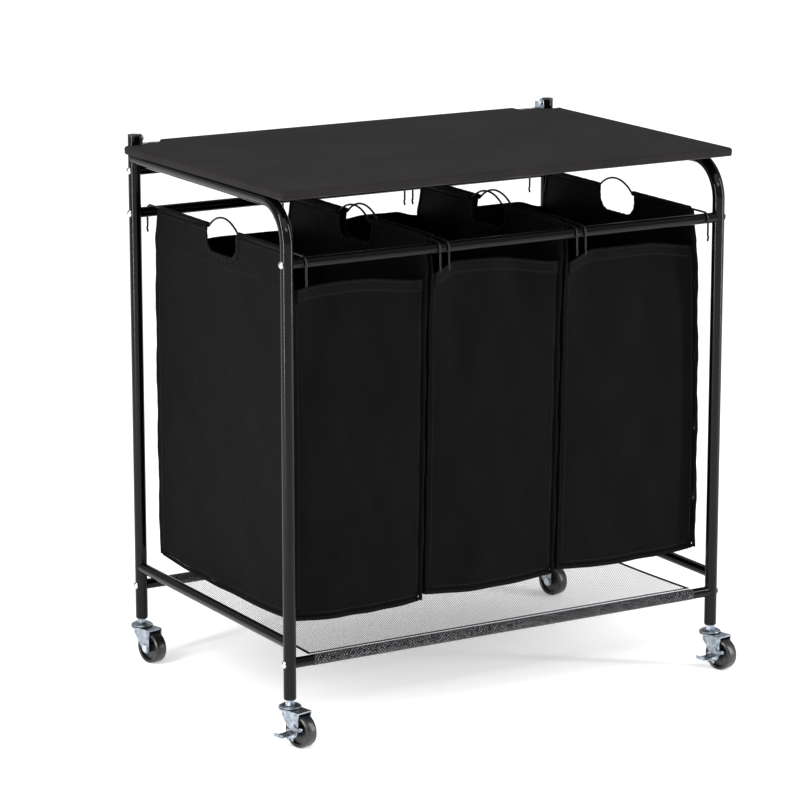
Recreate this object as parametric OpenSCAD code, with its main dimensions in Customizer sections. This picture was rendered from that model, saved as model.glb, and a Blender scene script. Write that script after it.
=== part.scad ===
// Laundry sorter on wheels: a steel tube frame with three hanging bags, a net shelf and an ironing
// board for a lid. X runs left to right, Y from front to back, Z up from the floor.

/* [Frame] */
// Distance between the left and right leg axes
leg_span_x = 748; // [560:1:900]
// Distance between the front and rear leg axes
leg_span_y = 482; // [380:1:620]
// Height of the rear posts' tops above the floor, caps included
post_top_z = 833; // [700:1:1000]
// Outside diameter of legs, posts and top side rails
leg_d = 19; // [16:0.5:25]
// Outside diameter of cross bars and lower side rails
bar_d = 16; // [12:0.5:18]
// Wall thickness of all the tubes
tube_wall = 1.2; // [0.8:0.1:2]
// Centre-line radius of the bend from front leg to top side rail
bend_r = 60; // [40:1:90]
// Height of the rail's axis below the tops of the rear posts
rail_drop = 36; // [30:1:50]
// Height of the rear top bar's axis below the rail's axis
top_bar_drop = 19; // [18:1:40]
// Height of the bag bars' axes below the rail's axis
bag_bar_drop = 85; // [75:1:200]
// Height of the shelf bars' axes above the floor
shelf_bar_z = 121; // [100:1:200]
// Height of the lower side rails' axes above the shelf bars' axes
side_rail_rise = 29; // [20:1:60]
// Diameter of the frame screws' shanks
screw_d = 6; // [4:0.5:8]
// Diameter of the frame screws' domed heads
screw_head_d = 11.5; // [9:0.5:16]
// Height of the frame screws' domed heads
screw_head_h = 3.6; // [2:0.2:6]
// Length of the threaded inserts in the bar ends
insert_len = 20; // [12:1:30]
// Height of the rear posts' plastic caps above the tube
cap_h = 2; // [1:0.5:5]

/* [Board] */
// Overhang of the board outside the legs, at each side
board_side_over = 5.5; // [2:0.5:30]
// Overhang of the board in front of the front legs
board_front_over = 5.5; // [2:0.5:30]
// Overhang of the board behind the rear posts' axes
board_rear_over = 21; // [12:1:22]
// Thickness of the board itself
board_core_t = 8; // [5:0.5:10]
// Thickness of the foam pad on the board
board_pad_t = 4.2; // [2:0.2:6]
// Thickness of the board's fabric cover
cover_t = 1; // [0.6:0.1:2]
// Gap between the board's corner notches and the fronts of the posts
notch_gap = 6.5; // [6:0.5:12]
// Gap between the board's corner notches and the inner sides of the posts
notch_side_gap = 4.5; // [4:0.5:10]
// Radius of the board's front corners
board_corner_r = 6; // [2:1:30]
// Thickness of the hinge brackets' steel
bracket_t = 1.5; // [1:0.1:2]
// Length of each hinge bracket's strap along the board
strap_len = 40; // [30:1:80]
// Width of each hinge bracket's strap
strap_w = 18; // [14:1:20]
// Diameter of the hinge pivot screws
pivot_d = 5; // [4:0.5:6]
// Height of the hinge's axis above the board's top
pivot_rise = 7; // [6:0.5:7]

/* [Bags] */
// Space left between a bag's side and its neighbour's
bag_gap = 7; // [4:1:40]
// Space left between the outer bags and the legs' axes
bag_leg_gap = 22; // [16:1:60]
// Space left between the bags' front and back panels and the bag bars' axes
bag_bar_gap = 28; // [18:1:60]
// Height of the bags' bottoms above the shelf bars' axes
bag_bottom_rise = 57; // [20:1:200]
// Depth of the bags' front and back top edges below the bag bars' axes
panel_drop = 45; // [20:1:120]
// Thickness modelled for the bag fabric with its hems
fabric_t = 1.6; // [1:0.1:3]
// Distance that the side panels' top corners are drawn in
corner_draw = 13; // [2:1:40]
// Width of the hand cut-outs in the side panels
hand_w = 96; // [80:1:140]
// Depth of the hand cut-outs below the rods' axes
hand_depth = 38; // [25:1:80]
// Corner radius of the hand cut-outs
hand_r = 22; // [5:1:24]
// Diameter of the bag rods' wire
wire_d = 3.2; // [2:0.2:5]
// Rise of the wire handles over the cut-outs
hoop_rise = 17; // [10:1:30]
// Depth of the hook tails below the bag bars' axes
tail_drop = 32; // [20:1:33]
// Diameter of the hems that hold the rods
hem_d = 8; // [6:0.5:12]

/* [Shelf] */
// Thickness modelled for the net
net_t = 1.5; // [1:0.1:3]
// Thickness of the net's sleeves round the shelf bars
sleeve_t = 1; // [0.6:0.1:2]
// Bare length of the shelf bars at each end
bare_end = 28; // [10:1:80]

/* [Casters] */
// Diameter of the wheels
wheel_d = 50; // [40:1:52]
// Width of the wheels' treads
wheel_w = 20; // [14:1:26]
// Distance from the swivel axis forward to the wheel's axle
trail = 24; // [18:1:30]
// Turn of the casters at rest, from straight ahead towards the right
caster_turn = 13; // [-180:1:180]
// Thickness of the forks' sheet steel
fork_t = 2; // [1.5:0.1:3]
// Diameter of the axles
axle_d = 6; // [5:0.5:8]
// Diameter of the swivel races
race_d = 33; // [28:1:40]
// Diameter of the caster stems
stem_d = 8; // [6:0.5:10]
// Reach of the brake pedals outside the fork
pedal_reach = 18; // [12:1:30]

/* [Fits] */
// Gap between pieces that slide or swing past each other
slip = 0.3; // [0.2:0.05:0.6]
// Radial clearance of shafts and pins that turn in holes
running = 0.08; // [0.05:0.01:0.1]
// Gap left where a tube's end is cut to fit round another tube
cope_gap = 0.05; // [0.02:0.01:0.2]

/* [Hidden] */
$fn = 48;
eps = 0.5;
bead = 0.12;
bag_n = 3;
leg_r = leg_d / 2;
leg_bore_r = leg_r - tube_wall;
bar_r = bar_d / 2;
bar_bore_r = bar_r - tube_wall;
leg_x = leg_span_x / 2;
leg_y = leg_span_y / 2;
screw_r = screw_d / 2;

// Caster heights, stacked from the floor to the foot of the tubes
axle_z = wheel_d / 2;
crown_gap = 2.5;
fork_top_z = wheel_d + crown_gap + fork_t;
ring_h = 1.5;
ring_over = 0.5;
race_h = 4.2;
nut_h = 6.5;
nut_af = 13;
flange_h = 2;
flange_taper = 1;
rivet_h = 1.6;
rivet_over = 2;
ring_z = fork_top_z + slip;
race_z = ring_z + ring_h;
nut_z = race_z + race_h;
flange_z = nut_z + nut_h;
tube_z = flange_z + flange_h;
stem_r = stem_d / 2;
stem_len = 34;
plug_len = 38;

// Rails, board and hinge
rail_z = post_top_z - rail_drop;
top_bar_z = rail_z - top_bar_drop;
bag_bar_z = rail_z - bag_bar_drop;
cope_r = leg_r + cope_gap;
insert_gap = 1;
side_rail_z = shelf_bar_z + side_rail_rise;
board_z = rail_z + leg_r + slip;
board_t = board_core_t + board_pad_t + cover_t;
board_top_z = board_z + board_t;
board_half_w = leg_x + leg_r + board_side_over;
board_front_y = -leg_y - leg_r - board_front_over;
board_rear_y = leg_y + board_rear_over;
pivot_r = pivot_d / 2;
pivot_head_r = pivot_r + 1.8;
pivot_head_h = 2.6;
pivot_z = board_top_z + pivot_rise;
ear_gap = 0.7;
ear_x = leg_x - leg_r - ear_gap;
ear_r = 6.5;
notch_x = leg_x - leg_r - notch_side_gap;
notch_y = leg_y - leg_r - notch_gap;
strap_z = board_z + board_core_t;
strap_edge = 2;
strap_y = board_rear_y - strap_w - strap_edge;
strap_mid_y = strap_y + strap_w / 2;
strap_room = 1.5;
strap_screw_d = 4;
strap_head_r = 3.6;
strap_head_top_r = 2;
strap_head_h = 1.6;
strap_screw_x = [strap_len * 0.4, strap_len * 0.82];
cap_plug_len = 18;

// Bags
bag_span = 2 * (leg_x - bag_leg_gap);
bag_pitch = (bag_span + bag_gap) / bag_n;
bag_w = bag_pitch - bag_gap;
bag_half_y = leg_y - bag_bar_gap;
bag_bottom_z = shelf_bar_z + bag_bottom_rise;
panel_z = bag_bar_z - panel_drop;
wire_r = wire_d / 2;
hook_r = bar_r + slip + wire_r;
rod_z = bag_bar_z + hook_r;
rod_x = bag_w / 2 - fabric_t / 2;
hem_r = hem_d / 2;
hem_half_y = bag_half_y - corner_draw;
hoop_half = hand_w / 2;
hoop_foot_r = 9;
hoop_sum_r = (hoop_half * hoop_half + hoop_rise * hoop_rise) / (2 * hoop_rise);
hoop_r = hoop_sum_r - hoop_foot_r;
hoop_angle = asin(hoop_half / hoop_sum_r);
kink_r = 4;
kink_angle = 35;
kink_h = 4 * kink_r * sin(kink_angle);

// Shelf
net_half_x = leg_x - leg_r - bare_end;

// Casters
fork_gap = 1.5;
cheek_x = wheel_w / 2 + fork_gap;
cheek_out = cheek_x + fork_t;
axle_r = axle_d / 2;
axle_head_r = axle_r + 2.6;
axle_head_h = 2.4;
boss_r = 8;
fork_back = 3;
cheek_heel_h = 9;
hub_wall = 4;
dish_depth = 5;
rim_wall = 6.5;
lever_t = 1.5;
lever_in = cheek_out + slip;
lever_out = lever_in + lever_t;
lever_corners = [[-15, 7], [1, 9], [12, 0], [13, -11], [3, -11]];
lever_corner_r = 3;
pedal_len = 17;
pedal_y = -trail + 5;
pedal_z = axle_z - 5;
pedal_lip_h = 5;
pedal_web = 1.4;
pedal_web_len = 6;
pedal_web_h = 4;

// ---- Helpers ----

// A cylinder of radius r along X, from x0 to x1, its axis through y and z
module rod_along_x(r, x0, x1, y = 0, z = 0) {
    translate([x0, y, z]) rotate([0, 90, 0]) cylinder(r = r, h = x1 - x0);
}

// A cylinder of radius r along Y, from y0 to y1, its axis through x and z
module rod_along_y(r, y0, y1, x = 0, z = 0) {
    translate([x, y0, z]) rotate([-90, 0, 0]) cylinder(r = r, h = y1 - y0);
}

// A bent tube of outer radius r in the plane x = 0, with a bore unless its radius is 0. It starts at
// the origin heading for +Y. Each step is [length, 0] for a straight run or [bend radius, angle] for
// a bend, where a positive angle turns the tube up, towards +Z. Solid wire gets a bead, a little
// wider than the wire, at the end of each bend that isn't square, which ties it to the next step.
module tube_path(steps, r, bore = 0) {
    if (len(steps) > 0) {
        rest = [for (i = [1:1:len(steps) - 1]) steps[i]];
        size = steps[0][0];
        turn = steps[0][1];
        up = turn < 0 ? -1 : 1;
        if (turn == 0) {
            rotate([-90, 0, 0]) linear_extrude(size) tube_section(r, bore);
            translate([0, size, 0]) tube_path(rest, r, bore);
        } else {
            mirror([0, 0, up < 0 ? 1 : 0]) translate([0, 0, size]) rotate([0, 90, 0])
                rotate_extrude(angle = abs(turn), $fn = 96) translate([size, 0]) tube_section(r, bore);
            translate([0, 0, up * size]) rotate([turn, 0, 0]) translate([0, 0, -up * size]) {
                if (bore == 0 && turn % 90 != 0) sphere(r = r + bead);
                tube_path(rest, r, bore);
            }
        }
    }
}

module tube_section(r, bore) {
    difference() {
        circle(r = r);
        if (bore > 0) circle(r = bore);
    }
}

// Copies the children to the four legs
module at_legs() {
    for (sx = [-1, 1], sy = [-1, 1]) translate([sx * leg_x, sy * leg_y, 0]) children();
}

// Places the children at one caster's swivel axis, turned as it rests
module at_caster(sx, sy) {
    translate([sx * leg_x, sy * leg_y, 0]) rotate([0, 0, caster_turn]) children();
}

// The mirrored pair of a piece drawn for the right side
module both_sides() {
    children();
    mirror([1, 0, 0]) children();
}

// A rounded rectangle with its lower left corner at a and its upper right one at b
module round_rect(a, b, r) {
    translate([a[0] + r, a[1]]) square([b[0] - a[0] - 2 * r, b[1] - a[1]]);
    translate([a[0], a[1] + r]) square([b[0] - a[0], b[1] - a[1] - 2 * r]);
    for (x = [a[0] + r, b[0] - r], y = [a[1] + r, b[1] - r]) translate([x, y]) circle(r = r);
}

// ---- Frame ----

// One tube: up the leg, round the bend and back along the rail, cut to fit round the rear post
module front_leg(sx) {
    run = [[rail_z - bend_r - tube_z, 0], [bend_r, -90], [leg_span_y - bend_r, 0]];
    color([0.04, 0.04, 0.045]) translate([sx * leg_x, 0, 0]) difference() {
        translate([0, -leg_y, tube_z]) rotate([90, 0, 0]) tube_path(run, leg_r, leg_bore_r);
        translate([0, leg_y, tube_z]) cylinder(r = cope_r, h = post_top_z);
        for (z = [bag_bar_z, shelf_bar_z]) rod_along_x(screw_r, -leg_d, leg_d, -leg_y, z);
    }
}

module rear_post(sx) {
    color([0.04, 0.04, 0.045]) translate([sx * leg_x, leg_y, 0]) difference() {
        translate([0, 0, tube_z]) cylinder(r = leg_r, h = post_top_z - cap_h - tube_z);
        translate([0, 0, tube_z - eps]) cylinder(r = leg_bore_r, h = post_top_z);
        for (z = [top_bar_z, bag_bar_z, shelf_bar_z]) rod_along_x(screw_r, -leg_d, leg_d, 0, z);
        mirror([sx < 0 ? 0 : 1, 0, 0]) rod_along_x(pivot_r, 0, leg_d, 0, pivot_z);
    }
}

module side_rail(sx) {
    color([0.04, 0.04, 0.045]) translate([sx * leg_x, 0, 0]) difference() {
        rod_along_y(bar_r, -leg_y, leg_y, 0, side_rail_z);
        rod_along_y(bar_bore_r, -leg_y, leg_y, 0, side_rail_z);
        for (y = [-leg_y, leg_y]) translate([0, y, 0]) cylinder(r = cope_r, h = post_top_z);
    }
}

module cross_bar(y, z) {
    color([0.04, 0.04, 0.045]) difference() {
        rod_along_x(bar_r, -leg_x, leg_x, y, z);
        rod_along_x(bar_bore_r, -leg_x, leg_x, y, z);
        for (x = [-leg_x, leg_x]) translate([x, y, 0]) cylinder(r = cope_r, h = post_top_z);
    }
}

// The places of the cross bars, each as its y and z
bars = [[-leg_y, bag_bar_z], [leg_y, bag_bar_z], [-leg_y, shelf_bar_z], [leg_y, shelf_bar_z],
        [leg_y, top_bar_z]];

module bar_inserts() {
    color([0.6, 0.6, 0.58]) both_sides() for (b = bars) difference() {
        x1 = leg_x - leg_r - insert_gap;
        rod_along_x(bar_bore_r, x1 - insert_len, x1, b[0], b[1]);
        rod_along_x(screw_r, x1 - insert_len, x1 + eps, b[0], b[1]);
    }
}

module frame_screws() {
    dome_r = (pow(screw_head_d / 2, 2) + pow(screw_head_h, 2)) / (2 * screw_head_h);
    color([0.85, 0.85, 0.87]) both_sides() for (b = bars) translate([leg_x, b[0], b[1]]) {
        rod_along_x(screw_r, -leg_r - insert_len + 2, leg_r + eps);
        translate([leg_r, 0, 0]) rotate([0, 90, 0]) intersection() {
            cylinder(r = screw_head_d / 2, h = screw_head_h);
            translate([0, 0, screw_head_h - dome_r]) sphere(r = dome_r);
        }
    }
}

module post_caps() {
    color([0.03, 0.03, 0.03]) both_sides() translate([leg_x, leg_y, 0]) difference() {
        union() {
            translate([0, 0, post_top_z - cap_h]) cylinder(r = leg_r, h = cap_h);
            translate([0, 0, post_top_z - cap_h - cap_plug_len]) cylinder(r = leg_bore_r, h = cap_plug_len);
        }
        rod_along_x(pivot_r, -leg_d, 0, 0, pivot_z);
    }
}

module pivot_screws() {
    color([0.8, 0.8, 0.82]) both_sides() translate([0, leg_y, pivot_z]) {
        x1 = ear_x - bracket_t - slip;
        rod_along_x(pivot_r, x1 - eps, leg_x);
        rod_along_x(pivot_head_r, x1 - pivot_head_h, x1);
    }
}

// ---- Shelf ----

module shelf_net() {
    color([0.1, 0.1, 0.1, 0.6])
        translate([-net_half_x, -leg_y + bar_r + sleeve_t, shelf_bar_z + bar_r - net_t])
        cube([2 * net_half_x, 2 * (leg_y - bar_r - sleeve_t), net_t]);
}

module net_sleeves() {
    color([0.08, 0.08, 0.08]) for (y = [-leg_y, leg_y]) difference() {
        rod_along_x(bar_r + sleeve_t, -net_half_x, net_half_x, y, shelf_bar_z);
        rod_along_x(bar_r, -net_half_x - eps, net_half_x + eps, y, shelf_bar_z);
    }
}

// ---- Board ----

// The board's outline, drawn in by inset, with a notch round each rear post
module board_outline(inset) {
    difference() {
        round_rect([-board_half_w + inset, board_front_y + inset],
                   [board_half_w - inset, board_rear_y - inset], board_corner_r - inset);
        for (sx = [-1, 1]) translate([sx * (notch_x - inset + board_half_w / 2), board_rear_y])
            square([board_half_w, 2 * (board_rear_y - notch_y + inset)], center = true);
    }
}

// The pad's outline: the board's, cut back round the hinge straps too
module pad_outline(inset) {
    difference() {
        board_outline(inset);
        for (sx = [-1, 1]) translate([sx * (ear_x - strap_len - strap_room - inset + board_half_w / 2),
                                      board_rear_y])
            square([board_half_w, 2 * (strap_w + strap_edge + strap_room + inset)], center = true);
    }
}

module board_core() {
    color([0.35, 0.27, 0.2]) translate([0, 0, board_z]) difference() {
        linear_extrude(board_core_t) board_outline(cover_t);
        both_sides() strap_holes(strap_screw_d / 2);
    }
}

module board_pad() {
    color([0.7, 0.7, 0.68]) translate([0, 0, board_z + board_core_t])
        linear_extrude(board_pad_t) pad_outline(cover_t);
}

// A skirt round the core, and above it a lid over the pad
module board_cover() {
    color([0.21, 0.2, 0.2]) translate([0, 0, board_z]) {
        linear_extrude(board_core_t) difference() {
            board_outline(0);
            board_outline(cover_t);
        }
        translate([0, 0, board_core_t]) difference() {
            linear_extrude(board_pad_t + cover_t) pad_outline(0);
            translate([0, 0, -eps]) linear_extrude(board_pad_t + eps) pad_outline(cover_t);
        }
    }
}

// The right strap's screw holes, of radius r, up through the core and the strap
module strap_holes(r) {
    for (x = strap_screw_x) translate([ear_x - x, strap_mid_y, bracket_t])
        cylinder(r = r, h = board_core_t + eps);
}

module hinge_brackets() {
    color([0.75, 0.75, 0.72]) both_sides() difference() {
        union() {
            translate([ear_x - bracket_t, 0, 0]) {
                rod_along_x(ear_r, 0, bracket_t, leg_y, pivot_z);
                translate([0, leg_y - ear_r, strap_z])
                    cube([bracket_t, strap_y + strap_w - leg_y + ear_r, pivot_z - strap_z]);
            }
            translate([ear_x - strap_len, strap_y, strap_z]) cube([strap_len, strap_w, bracket_t]);
        }
        rod_along_x(pivot_r + running, ear_x - strap_len, ear_x + eps, leg_y, pivot_z);
        translate([0, 0, board_z]) strap_holes(strap_screw_d / 2);
    }
}

module bracket_screws() {
    color([0.8, 0.8, 0.78]) both_sides() for (x = strap_screw_x)
        translate([ear_x - x, strap_mid_y, strap_z + bracket_t]) {
            translate([0, 0, -board_core_t]) cylinder(r = strap_screw_d / 2, h = board_core_t);
            cylinder(r1 = strap_head_r, r2 = strap_head_top_r, h = strap_head_h);
        }
}

// ---- Bags ----

// The outline of a side panel in y and z: drawn-in top corners and a hand cut-out
module side_outline() {
    difference() {
        polygon([[-bag_half_y, bag_bottom_z], [bag_half_y, bag_bottom_z], [bag_half_y, panel_z],
                 [hem_half_y, rod_z], [-hem_half_y, rod_z], [-bag_half_y, panel_z]]);
        round_rect([-hoop_half, rod_z - hand_depth], [hoop_half, rod_z + 2 * hand_r], hand_r);
    }
}

module bag() {
    difference() {
        union() {
            for (sx = [-1, 1]) {
                translate([sx * rod_x - fabric_t / 2, 0, 0])
                    rotate([90, 0, 90]) linear_extrude(fabric_t) side_outline();
                for (sy = [-1, 1])
                    rod_along_y(hem_r, sy > 0 ? hoop_half : -hem_half_y,
                                sy > 0 ? hem_half_y : -hoop_half, sx * (rod_x - hem_r + fabric_t / 2), rod_z);
            }
            for (y = [-bag_half_y, bag_half_y - fabric_t])
                translate([-bag_w / 2, y, bag_bottom_z]) cube([bag_w, fabric_t, panel_z - bag_bottom_z]);
            translate([-bag_w / 2, -bag_half_y, bag_bottom_z]) cube([bag_w, 2 * bag_half_y, fabric_t]);
        }
        for (sx = [-1, 1])
            rod_along_y(wire_r + slip, -leg_y, leg_y, sx * (rod_x - hem_r + fabric_t / 2), rod_z);
    }
}

module bag_at(i) {
    color([0.1, 0.1, 0.1]) translate([(i - (bag_n - 1) / 2) * bag_pitch, 0, 0]) bag();
}

// One rod: a handle hoop in the middle, and at each end a straight run in the hem, a hook over the
// bar and a tail with a small double kink
module bag_rod() {
    half = [
        [hoop_r, -hoop_angle], [hoop_foot_r, hoop_angle], [leg_y - hoop_half, 0], [hook_r, -90],
        [tail_drop - kink_h, 0], [kink_r, kink_angle], [kink_r, -2 * kink_angle], [kink_r, kink_angle]
    ];
    for (sy = [-1, 1]) mirror([0, sy < 0 ? 1 : 0, 0])
        translate([0, 0, rod_z + hoop_rise]) tube_path(half, wire_r);
}

module bag_rod_at(i, sx) {
    color([0.07, 0.07, 0.07])
        translate([(i - (bag_n - 1) / 2) * bag_pitch + sx * (rod_x - hem_r + fabric_t / 2), 0, 0])
        bag_rod();
}

// ---- Casters ----

module stem_sockets() {
    color([0.05, 0.05, 0.05]) at_legs() difference() {
        union() {
            translate([0, 0, flange_z]) cylinder(r1 = leg_r - flange_taper, r2 = leg_r, h = flange_h);
            translate([0, 0, tube_z]) cylinder(r = leg_bore_r, h = plug_len);
        }
        translate([0, 0, flange_z - eps]) cylinder(r = stem_r, h = stem_len + eps);
    }
}

// The stem with its nut and upper race, and the rivet end that holds the fork
module caster_stems() {
    under_z = fork_top_z - fork_t - slip;
    race_r = race_d / 2;
    color([0.75, 0.76, 0.78]) at_legs() {
        translate([0, 0, under_z]) cylinder(r = stem_r, h = flange_z + stem_len - under_z);
        translate([0, 0, under_z - rivet_h]) cylinder(r = stem_r + rivet_over, h = rivet_h);
        translate([0, 0, race_z]) rotate_extrude()
            polygon([[0, 0], [race_r, 0], [race_r, race_h * 0.3], [race_r * 0.82, race_h * 0.75],
                     [race_r * 0.64, race_h], [0, race_h]]);
        translate([0, 0, nut_z]) cylinder(d = nut_af / cos(30), h = nut_h, $fn = 6);
    }
}

module race_rings() {
    color([0.03, 0.03, 0.03]) at_legs() translate([0, 0, ring_z]) difference() {
        cylinder(r = race_d / 2 + ring_over, h = ring_h);
        translate([0, 0, -eps]) cylinder(r = stem_r, h = ring_h + 2 * eps);
    }
}

// The side outline of a fork's cheek in y and z
module cheek_outline() {
    polygon([[fork_back, fork_top_z], [fork_back, fork_top_z - cheek_heel_h],
             [-trail + boss_r * cos(30), axle_z - boss_r * sin(30)], [-trail - boss_r, axle_z],
             [-trail - boss_r, fork_top_z]]);
    translate([-trail, axle_z]) circle(r = boss_r);
}

module fork() {
    color([0.75, 0.76, 0.78]) difference() {
        union() {
            for (x = [-cheek_out, cheek_x])
                translate([x, 0, 0]) rotate([90, 0, 90]) linear_extrude(fork_t) cheek_outline();
            translate([0, 0, fork_top_z - fork_t]) linear_extrude(fork_t) {
                translate([-cheek_out, -trail - boss_r])
                    square([2 * cheek_out, trail + boss_r + fork_back]);
                circle(d = race_d);
            }
        }
        rod_along_x(axle_r, -cheek_out - eps, cheek_out + eps, -trail, axle_z);
        translate([0, 0, fork_top_z - 2 * fork_t]) cylinder(r = stem_r + running, h = 3 * fork_t);
    }
}

// The wheel's half section: [distance along the axle, radius]
wheel_r = wheel_d / 2;
wheel_half = wheel_w / 2;
hub_half = wheel_half + fork_gap / 2;
wheel_section = [
    [0, axle_r + running], [hub_half, axle_r + running], [hub_half, axle_r + hub_wall],
    [wheel_half - dish_depth, axle_r + hub_wall + 0.6], [wheel_half - dish_depth, wheel_r - rim_wall],
    [wheel_half - 1, wheel_r - rim_wall + 1], [wheel_half, wheel_r - 3], [wheel_half - 1.2, wheel_r - 0.8],
    [wheel_half - 3.5, wheel_r], [0, wheel_r]
];

module wheel() {
    section = concat(wheel_section,
        [for (i = [len(wheel_section) - 2:-1:1]) [-wheel_section[i][0], wheel_section[i][1]]]);
    color([0.05, 0.05, 0.05]) translate([0, -trail, axle_z]) rotate([0, 90, 0])
        rotate_extrude($fn = 96) polygon([for (p = section) [p[1], p[0]]]);
}

module axle(braked) {
    left = braked ? lever_out + slip : cheek_out;
    color([0.8, 0.8, 0.82]) translate([0, -trail, axle_z]) {
        rod_along_x(axle_r, -left, cheek_out);
        rod_along_x(axle_head_r, cheek_out, cheek_out + axle_head_h);
        rod_along_x(axle_head_r, -left - axle_head_h, -left);
    }
}

// The brake lever: a cheek on the axle, and a foot pedal that stands out from it on two webs
module brake() {
    color([0.75, 0.76, 0.78]) difference() {
        union() {
            translate([-lever_out, -trail, axle_z]) rotate([90, 0, 90]) linear_extrude(lever_t) {
                polygon(lever_corners);
                circle(r = boss_r);
                for (p = lever_corners) translate(p) circle(r = lever_corner_r);
            }
            translate([-lever_out - pedal_reach, pedal_y, pedal_z - lever_t]) {
                cube([pedal_reach + eps, pedal_len, lever_t]);
                cube([lever_t, pedal_len, pedal_lip_h]);
            }
            for (y = [pedal_y + pedal_len / 6, pedal_y + pedal_len / 2])
                translate([-lever_out - pedal_web_len, y, pedal_z - eps])
                    cube([pedal_web_len + eps, pedal_web, pedal_web_h]);
        }
        rod_along_x(axle_r + running, -lever_out - pedal_reach - eps, -lever_in + eps, -trail, axle_z);
    }
}

// ---- Nodes ----

front_leg(-1);  // left_front_leg
front_leg(1);  // right_front_leg
rear_post(-1);  // left_rear_post
rear_post(1);  // right_rear_post
side_rail(-1);  // left_side_rail
side_rail(1);  // right_side_rail
cross_bar(-leg_y, bag_bar_z);  // front_bag_bar
cross_bar(leg_y, bag_bar_z);  // rear_bag_bar
cross_bar(-leg_y, shelf_bar_z);  // front_shelf_bar
cross_bar(leg_y, shelf_bar_z);  // rear_shelf_bar
cross_bar(leg_y, top_bar_z);  // rear_top_bar
bar_inserts();
frame_screws();
post_caps();
pivot_screws();
stem_sockets();
caster_stems();
race_rings();
shelf_net();
net_sleeves();
board_core();
board_pad();
board_cover();
hinge_brackets();
bracket_screws();
bag_at(0);  // left_bag
bag_at(1);  // centre_bag
bag_at(2);  // right_bag
bag_rod_at(0, -1);  // left_bag_rod_l
bag_rod_at(0, 1);  // left_bag_rod_r
bag_rod_at(1, -1);  // centre_bag_rod_l
bag_rod_at(1, 1);  // centre_bag_rod_r
bag_rod_at(2, -1);  // right_bag_rod_l
bag_rod_at(2, 1);  // right_bag_rod_r
at_caster(-1, -1) fork();  // front_left_fork
at_caster(1, -1) fork();  // front_right_fork
at_caster(-1, 1) fork();  // rear_left_fork
at_caster(1, 1) fork();  // rear_right_fork
at_caster(-1, -1) wheel();  // front_left_wheel
at_caster(1, -1) wheel();  // front_right_wheel
at_caster(-1, 1) wheel();  // rear_left_wheel
at_caster(1, 1) wheel();  // rear_right_wheel
at_caster(-1, -1) axle(true);  // front_left_axle
at_caster(1, -1) axle(true);  // front_right_axle
at_caster(-1, 1) axle(false);  // rear_left_axle
at_caster(1, 1) axle(false);  // rear_right_axle
at_caster(-1, -1) brake();  // front_left_brake
at_caster(1, -1) brake();  // front_right_brake
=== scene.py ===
# Laundry sorter on wheels: its looks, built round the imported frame. Metres, Z up, front faces -Y.
import math

import bmesh
import bpy
import numpy as np
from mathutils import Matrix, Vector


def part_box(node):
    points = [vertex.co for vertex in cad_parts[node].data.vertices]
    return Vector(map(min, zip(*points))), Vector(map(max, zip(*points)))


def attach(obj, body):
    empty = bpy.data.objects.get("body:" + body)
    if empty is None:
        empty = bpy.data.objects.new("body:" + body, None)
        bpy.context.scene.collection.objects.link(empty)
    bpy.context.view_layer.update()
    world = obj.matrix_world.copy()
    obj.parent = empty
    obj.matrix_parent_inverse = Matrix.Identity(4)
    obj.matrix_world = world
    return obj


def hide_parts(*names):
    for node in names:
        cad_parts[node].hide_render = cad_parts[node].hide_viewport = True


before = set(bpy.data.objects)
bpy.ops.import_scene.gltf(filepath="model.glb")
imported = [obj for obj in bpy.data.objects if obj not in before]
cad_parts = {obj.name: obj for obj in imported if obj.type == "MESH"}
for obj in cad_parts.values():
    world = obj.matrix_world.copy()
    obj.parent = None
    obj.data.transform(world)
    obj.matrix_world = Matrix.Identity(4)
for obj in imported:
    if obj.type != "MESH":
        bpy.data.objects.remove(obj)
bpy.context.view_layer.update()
print("frame loaded:", len(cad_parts), "nodes")


cameraLook = {"place": (-2.7826, -4.6414, 1.6860), "azimuth": 30.527, "down": 13.146, "lens": 162.03}
lightLook = {
    # name: (place, aimed at, width, height, power in watts)
    "leftStrip": ((-2.6, -0.4, 1.2), (0.0, 0.0, 0.45), 0.24, 2.6, 62),
    "rightStrip": ((2.4, -1.9, 1.2), (0.0, 0.0, 0.45), 0.24, 2.6, 58),
    "frontStrip": ((-0.6, -3.9, 3.0), (0.0, 0.0, 0.45), 2.4, 0.4, 26),
}
skyLook = {"power": 1.35, "spread": 70, "tilt": 28, "roll": -14, "world": "#f4f5f7", "worldPower": 0.5}


def hexColour(code):
    # sRGB hex code to linear red, green, blue and alpha
    parts = [int(code[i:i + 2], 16) / 255 for i in (1, 3, 5)]
    return (*[p / 12.92 if p <= 0.04045 else ((p + 0.055) / 1.055) ** 2.4 for p in parts], 1.0)


def addCamera(look):
    # a long lens from far off, turned by its azimuth and tilted down
    data = bpy.data.cameras.new("SorterCamera")
    data.lens = look["lens"]
    data.sensor_width = 36
    data.clip_end = 100
    cam = bpy.data.objects.new("SorterCamera", data)
    cam.location = look["place"]
    cam.rotation_euler = (math.radians(90 - look["down"]), 0, -math.radians(look["azimuth"]))
    bpy.context.scene.collection.objects.link(cam)
    bpy.context.scene.camera = cam


def addLight(name, place, target, width, height, power):
    # a soft box: a rectangle of light, turned from its place towards its target
    data = bpy.data.lights.new(name, "AREA")
    data.shape = "RECTANGLE"
    data.size, data.size_y, data.energy = width, height, power
    lamp = bpy.data.objects.new(name, data)
    lamp.location = place
    aim = np.array(target) - np.array(place)
    lamp.rotation_euler = (math.acos(-aim[2] / np.linalg.norm(aim)), 0,
                           math.atan2(aim[1], aim[0]) - math.pi / 2)
    bpy.context.scene.collection.objects.link(lamp)


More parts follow.
